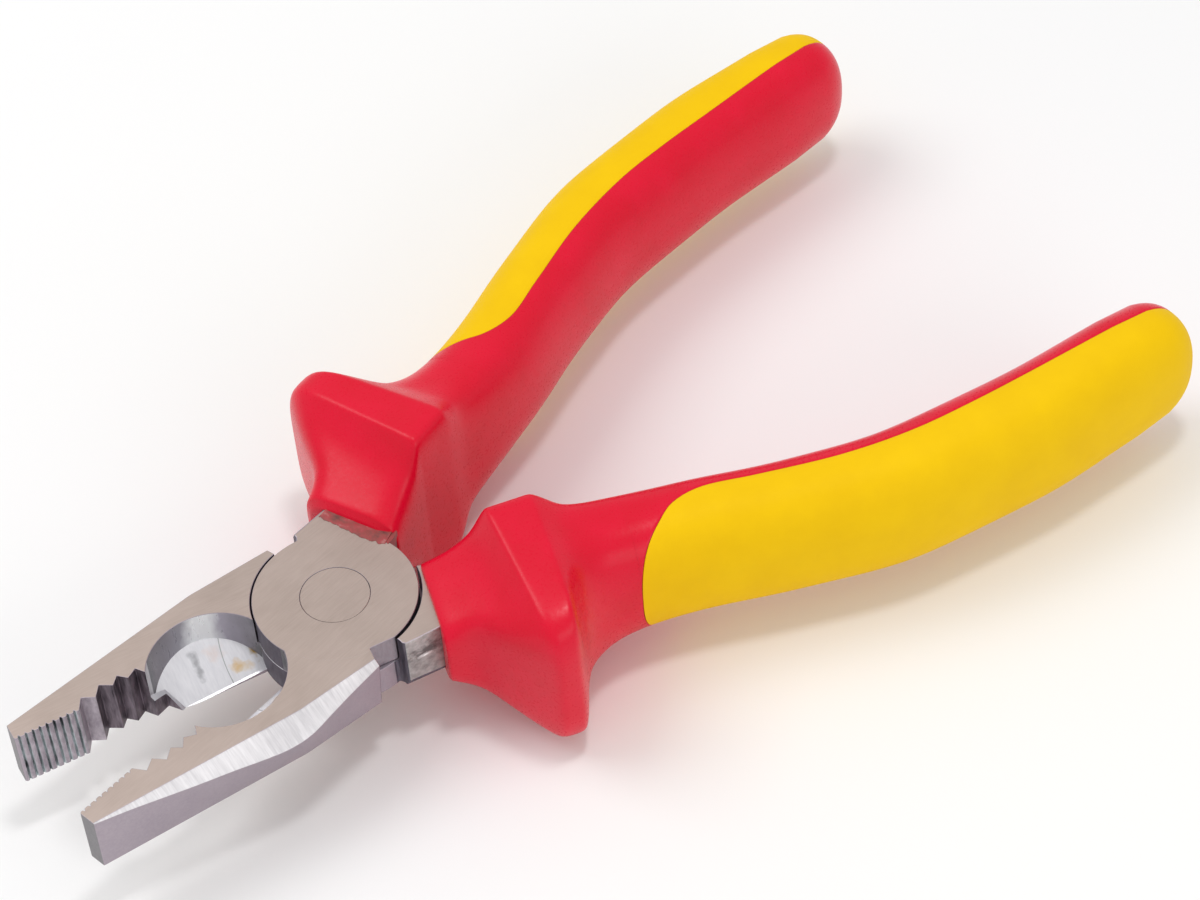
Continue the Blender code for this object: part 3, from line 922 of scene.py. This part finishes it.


# Marks are a place, a size along each axis, a colour and how strongly it covers.
# On the rear neck: a dark patch round a gouge, a painted highlight (a glint on the gouge), and a red patch
# that is partly plastic left by the sleeve and partly a painted reflection of the red sleeve.
NECK_MARKS_AND_PAINTED_LIGHT = (
    ((7.6, 12.9, 1.5), (3.0, 9.0, 1.1), (0.16, 0.15, 0.15), 0.9),
    ((7.2, 12.9, 0.6), (1.1, 9.0, 0.3), (0.98, 0.98, 0.98), 1.0),
    ((12.2, 12.9, 4.4), (2.4, 9.0, 2.2), (0.45, 0.10, 0.09), 1.0),
)
STEEL_PATCHES = (0.15, 0.15, 0.15)


def steel(name, side, dark, light, rough, grain, grain_depth):
    """Bare steel with fine lines; grain gives how tight the lines are along each axis."""
    marks = NECK_MARKS_AND_PAINTED_LIGHT if (name, side) == ("rough_neck", REAR) else ()
    m = Nodes(NAMES[side] + "_" + name, side)
    m.set(Metallic=1.0)
    lines = m.noise(grain, 4.0, 0.6)
    patches = m.noise(STEEL_PATCHES, 3.0, 0.5)
    mixed = m.add("ShaderNodeMath", operation="ADD")
    m.join(m.span(lines, 0.3, 0.7, 0.0, 0.6), mixed.inputs[0])
    m.join(m.span(patches, 0.3, 0.7, 0.0, 0.4), mixed.inputs[1])
    colour = m.ramp(mixed.outputs[0], 0.15, 0.85, dark, light)
    # On the rear neck these paint a glint and a red patch that is partly a painted reflection.
    for (x, y, z), size, tint, amount in marks:
        colour = m.tint_patch(colour, lines, (x, y * side, z), size, tint, amount)
    m.feed("Base Color", colour)
    m.feed("Roughness", m.span(mixed.outputs[0], 0.0, 1.0, rough[0], rough[1]))
    m.feed("Normal", m.bump(lines, grain_depth))
    return m.material


def red_plastic():
    m = Nodes("red_insulation")
    mottle = m.noise((0.12, 0.12, 0.12), 4.0, 0.6)
    grain = m.noise((2.2, 2.2, 2.2), 2.0, 0.5)
    m.feed("Base Color", m.ramp(mottle, 0.3, 0.7, (0.68, 0.002, 0.022), (0.75, 0.003, 0.032)))
    m.feed("Roughness", m.span(grain, 0.3, 0.7, 0.25, 0.36))
    m.feed("Normal", m.bump(grain, 0.016))
    m.set(Specular_IOR_Level=0.27)
    return m.material


def flash_plastic():
    """Thin red plastic with the metal showing through it, brown in the middle and greyer in patches."""
    m = Nodes("mouth_flash", FRONT)
    patches = m.noise((0.7, 0.45, 0.7), 3.0, 0.6)
    m.feed("Base Color", m.ramp(
        patches, 0.3, 0.72, (0.14, 0.045, 0.04), (0.42, 0.20, 0.18),
        ((0.45, (0.27, 0.05, 0.045)), (0.58, (0.36, 0.045, 0.05))),
    ))
    m.feed("Roughness", m.span(patches, 0.3, 0.7, 0.3, 0.45))
    m.feed("Normal", m.bump(patches, 0.05))
    return m.material


def yellow_plastic():
    m = Nodes("yellow_grip")
    mottle = m.noise((0.12, 0.12, 0.12), 4.0, 0.6)
    grain = m.noise((5.0, 5.0, 5.0), 3.0, 0.6)
    m.feed("Base Color", m.ramp(mottle, 0.3, 0.7, (0.85, 0.52, 0.0), (0.90, 0.565, 0.0)))
    m.feed("Roughness", m.span(grain, 0.3, 0.7, 0.52, 0.64))
    m.feed("Normal", m.bump(grain, 0.016))
    m.set(Specular_IOR_Level=0.12)
    return m.material


FINISHES = (
    ("ground_face", (0.485, 0.395, 0.35), (0.545, 0.45, 0.405), (0.42, 0.5), (0.3, 5.0, 5.0), 0.004),
    ("ground_chamfer", (0.50, 0.485, 0.50), (0.78, 0.76, 0.775), (0.38, 0.5), (2.2, 0.2, 0.2), 0.02),
    ("blasted_side", (0.415, 0.36, 0.41), (0.49, 0.43, 0.475), (0.5, 0.6), (2.5, 2.5, 2.5), 0.012),
    ("jaw_tip", (0.24, 0.23, 0.24), (0.31, 0.3, 0.31), (0.5, 0.6), (2.5, 2.5, 2.5), 0.012),
    ("rough_neck", (0.28, 0.27, 0.265), (0.60, 0.58, 0.575), (0.45, 0.6), (0.9, 0.9, 1.1), 0.09),
    ("tooth_land", (0.28, 0.24, 0.28), (0.56, 0.50, 0.55), (0.35, 0.5), (1.6, 1.6, 0.7), 0.02),
    ("groove", (0.10, 0.11, 0.12), (0.66, 0.72, 0.74), (0.45, 0.6), (0.9, 0.9, 0.35), 0.01),
    # The coarse teeth's dark colour is painted shade between the jaws.
    ("coarse_tooth", (0.045, 0.035, 0.045), (0.29, 0.24, 0.28), (0.35, 0.5), (1.6, 1.6, 0.25), 0.02),
    ("shadowed_shoulder", (0.11, 0.10, 0.13), (0.22, 0.2, 0.24), (0.45, 0.6), (1.5, 1.5, 0.4), 0.02),
    ("ground_heel", (0.30, 0.27, 0.30), (0.40, 0.36, 0.40), (0.35, 0.5), (2.5, 2.5, 0.8), 0.01),
)
FACE, CHAMFER, SIDE, TIP, NECK_SIDE, LAND, GROOVE, SHADED_COARSE, SHOULDER, HEEL_FACE, WALL, BLADE = range(12)

BLADE_MARKS = (
    ((-20.4, -4.3), (0.6, 1.7), (0.34, 0.34, 0.36), 0.75),
    ((-12.3, -2.6), (0.55, 1.0), (0.40, 0.24, 0.03), 0.95),
    ((-15.3, -1.9), (0.9, 0.8), (0.72, 0.48, 0.20), 0.8),
    ((-14.2, -1.4), (1.0, 0.6), (0.72, 0.55, 0.35), 0.7),
    ((-17.6, -4.6), (1.5, 1.2), (0.80, 0.66, 0.62), 0.5),
)
SCORE_CENTRE = (-3.1, -1.6, 0.0)
SCORE_RADIUS = 13.7
WALL_SPAN = (-26.5, -8.5)


def hollow_wall(side):
    """The cutter hollow's wall: a painted highlight in the middle, and painted shade towards both ends."""
    m = Nodes(NAMES[side] + "_hollow_wall", side)
    m.set(Metallic=0.4)
    lines = m.noise((2.5, 2.5, 0.4), 4.0, 0.6)
    along = m.add("ShaderNodeSeparateXYZ")
    m.join(m.coordinates((1.0, 1.0, 1.0)), along.inputs["Vector"])
    shift = m.add("ShaderNodeMath", operation="MULTIPLY_ADD")
    m.join(m.noise((0.5, 0.5, 0.25), 3.0), shift.inputs[0])
    shift.inputs[1].default_value = 3.0
    m.join(along.outputs["X"], shift.inputs[2])
    # Painted light: near white in the middle for a highlight, dark towards both ends for shade.
    painted_highlight_and_shade = m.ramp(
        m.span(shift.outputs[0], *WALL_SPAN, 0.0, 1.0), 0.0, 1.0, (0.09, 0.09, 0.10), (0.10, 0.09, 0.10),
        ((0.1, (0.20, 0.18, 0.20)), (0.38, (0.34, 0.33, 0.37)), (0.49, (0.96, 0.98, 0.99)),
         (0.62, (0.96, 0.98, 0.99)), (0.72, (0.46, 0.43, 0.50)), (0.86, (0.32, 0.30, 0.34)),
         (0.94, (0.12, 0.12, 0.13))),
    )
    m.feed("Base Color", painted_highlight_and_shade)
    m.feed("Roughness", m.span(lines, 0.3, 0.7, 0.25, 0.4))
    m.feed("Normal", m.bump(lines, 0.003))
    return m.material


def blade_face(side):
    """The cutter's ground floor: bright, with fine scratches, a smudge, a scored line and brown stains."""
    m = Nodes(NAMES[side] + "_ground_blade", side)
    m.set(Metallic=0.7)
    scratches = m.noise((3.5, 0.5, 0.5), 4.0, 0.6)
    where = m.coordinates((1.0, 1.0, 0.0))
    cloud = m.noise((0.8, 0.8, 0.8), 2.0, 0.5)
    colour = m.ramp(scratches, 0.3, 0.7, (0.76, 0.75, 0.79), (0.84, 0.83, 0.86))
    for (x, y), (wide, deep), tint, amount in BLADE_MARKS:
        colour = m.tint_patch(colour, cloud, (x, y * side, 0.0), (wide, deep, 1000.0), tint, amount)
    line = m.add("ShaderNodeMath", operation="COMPARE")
    m.join(m.distance(where, (SCORE_CENTRE[0], SCORE_CENTRE[1] * side, 0.0)), line.inputs[0])
    line.inputs[1].default_value = SCORE_RADIUS
    line.inputs[2].default_value = 0.07
    colour = m.blend(m.span(line.outputs[0], 0.0, 1.0, 0.0, 0.6), colour, (0.22, 0.24, 0.23))
    m.feed("Base Color", colour)
    m.feed("Roughness", m.span(scratches, 0.3, 0.7, 0.3, 0.42))
    m.feed("Normal", m.bump(scratches, 0.0015))
    return m.material


def which_steel(centre, normal, side):
    """The finish of one face of a forging, from where it lies and which way it looks.

    Places are in the half's own drawing. In order, the rules pick the flat faces, the back chamfer, the
    hollow's floor and wall, the gripping side, the walls round the joint, the neck and the jaw's tip.
    """
    x, y, z = centre
    upright = abs(normal.z)
    from_pocket = math.hypot(x - POCKET_CENTRE[0], y - POCKET_CENTRE[1])
    if upright > 0.99 and abs(abs(z) - H) < 0.05:
        return FACE
    if x < -3.0 and y < -2.5 and 0.4 < upright < 0.9 and from_pocket > POCKET_RADIUS + 0.3 and z * side > 0:
        return CHAMFER
    if from_pocket < POCKET_RADIUS + 0.02 and -31.0 < x < -6.0 and upright > 0.3 and z < H - 0.5:
        return BLADE
    if abs(from_pocket - POCKET_RADIUS) < 0.3 and y < 0.5 and x > -29.6 and upright < 0.6:
        return CHAMFER if x < -27.5 else WALL
    if normal.y > 0.05 and upright < 0.7 and y > -3.6 and TIP_X + 0.4 < x < -24.0:
        if x < TIP_X + FINE_START + FINE_TEETH * FINE_PITCH:
            steep = abs(normal.x) > 0.45 or y < -CLOSING_GAP - 0.3 * FINE_DEPTH
            return GROOVE if steep else LAND
        # Coarse teeth nearer the joint take a dark colour: painted shade between the jaws.
        return LAND if x < -36.0 else SHADED_COARSE
    if math.hypot(x, y) < 12.4 and upright < 0.3:
        if y < 0 and x > -5.0:
            return SHOULDER if math.hypot(x, y) > JAW_RECESS_RADIUS - 0.1 else HEEL_FACE
        return SIDE if y > 9.0 and x < 3.0 else SHOULDER
    if 2.0 < x < 4.6 and y > 10.5 and normal.x < -0.6:
        return SHOULDER
    if x > 4.0 and normal.y > 0.3 and normal.z * side > 0.1:
        return SHOULDER
    if -5.2 < x < -4.2 and y < -12.4 and normal.x > 0.2:
        return SHOULDER
    if x > 3.0 and y > 10.0 and normal.y > 0.5:
        return NECK_SIDE
    if x < TIP_X + 0.3 and normal.x < -0.7:
        return TIP
    return SIDE


def shade(obj, sharp_deg):
    """Smooth shading, with edges sharper than an angle kept crisp."""
    obj.data.shade_smooth()
    obj.data.set_sharp_from_angle(angle=math.radians(sharp_deg))


def finish_steel(obj, side):
    for finish in FINISHES:
        obj.data.materials.append(steel(finish[0], side, *finish[1:]))
    obj.data.materials.append(hollow_wall(side))
    obj.data.materials.append(blade_face(side))
    for polygon in obj.data.polygons:
        polygon.material_index = which_steel(polygon.center, polygon.normal, side)
    shade(obj, STEEL_SHARP_DEG)


def rivet():
    obj = lathe("joint_rivet", (0.0, 0.0), (
        (0.0, -H), (RIVET_RADIUS - RIVET_EDGE, -H), (RIVET_RADIUS, -H + RIVET_EDGE),
        (RIVET_RADIUS, H - RIVET_EDGE), (RIVET_RADIUS - RIVET_EDGE, H), (0.0, H),
    ))
    obj.data.materials.append(bpy.data.materials["front_ground_face"])
    shade(obj, STEEL_SHARP_DEG)
    return obj


def build():
    surface = SleeveSurface()
    red, yellow = red_plastic(), yellow_plastic()
    for side in (FRONT, REAR):
        name = NAMES[side]
        half = forged_half(side)
        finish_steel(half, side)
        drop_strays(half)
        place(half, side, name + "_plier_half")
        skin = sleeve(surface, side)
        skin.data.materials.clear()
        skin.data.materials.append(red)
        shade(skin, PLASTIC_SHARP_DEG)
        place(skin, side, name + "_insulating_sleeve")
        grip = panel(surface, side)
        grip.data.materials.append(yellow)
        shade(grip, PLASTIC_SHARP_DEG)
        place(grip, side, name + "_grip_panel")
    place(rivet(), FRONT, "pivot_rivet")
    flash = mouth_flash("front_mouth_flash")
    flash.data.materials.append(flash_plastic())
    shade(flash, FLASH_SHARP_DEG)
    place(flash, FRONT)


# Camera, light and floor

CAMERA_FROM_PIVOT = Vector((-159.85, -298.80, 406.68)) * MM
CAMERA_ELEVATION_DEG = 48.2
CAMERA_AZIMUTH_DEG = 34.67
CAMERA_ROLL_DEG = -4.97
CAMERA_LENS = 112.9
WORLD_STRENGTH = 0.63
LIGHT_DISTANCE = 0.9
LIGHTS = (
    ("key", (-0.35, 0.5, 1.0), (0.5, 0.5), 2.5),
    ("front_fill", (0.1, -1.0, 0.45), (0.8, 0.4), 1.35),
    ("small_top", (0.12, -0.1, 1.0), (0.12, 0.12), 1.5),
)


def camera():
    data = bpy.data.cameras.new("camera")
    data.lens = CAMERA_LENS
    data.sensor_width = 36.0
    data.clip_start = 0.01
    obj = link("camera", data)
    elevation = math.radians(CAMERA_ELEVATION_DEG)
    azimuth = math.radians(CAMERA_AZIMUTH_DEG)
    roll = math.radians(CAMERA_ROLL_DEG)
    right = Vector((math.cos(azimuth), -math.sin(azimuth), 0.0))
    back = Vector((
        -math.sin(azimuth) * math.cos(elevation),
        -math.cos(azimuth) * math.cos(elevation),
        math.sin(elevation),
    ))
    up = back.cross(right)
    turned_right = math.cos(roll) * right + math.sin(roll) * up
    turned_up = -math.sin(roll) * right + math.cos(roll) * up
    axes = Matrix((turned_right, turned_up, back)).transposed().to_4x4()
    obj.matrix_world = Matrix.Translation(PIVOT + CAMERA_FROM_PIVOT) @ axes
    bpy.context.scene.camera = obj


def area_light(name, towards, size, power):
    """A soft rectangular light that looks at the joint from a direction."""
    data = bpy.data.lights.new(name, "AREA")
    data.shape = "RECTANGLE"
    data.size, data.size_y = size
    data.energy = power
    obj = link(name, data)
    direction = Vector(towards).normalized()
    obj.location = PIVOT + direction * LIGHT_DISTANCE
    obj.rotation_euler = direction.to_track_quat("Z", "Y").to_euler()


def studio():
    world = bpy.data.worlds.new("studio")
    bpy.context.scene.world = world
    world.use_nodes = True
    background = world.node_tree.nodes["Background"]
    background.inputs["Color"].default_value = (1.0, 1.0, 1.0, 1.0)
    background.inputs["Strength"].default_value = WORLD_STRENGTH
    for light in LIGHTS:
        area_light(*light)

    floor = bmesh.new()
    bmesh.ops.create_grid(floor, x_segments=2, y_segments=2, size=3.0)
    obj = to_object(floor, "floor")
    m = Nodes("pale_floor")
    mottle = m.noise((0.004, 0.004, 0.004), 3.0)
    m.feed("Base Color", m.ramp(mottle, 0.3, 0.7, (0.90, 0.90, 0.90), (0.93, 0.93, 0.93)))
    m.set(Roughness=0.9)
    obj.data.materials.append(m.material)
    bpy.context.scene.view_settings.view_transform = "Standard"


build()
camera()
studio()

bpy.context.view_layer.update()
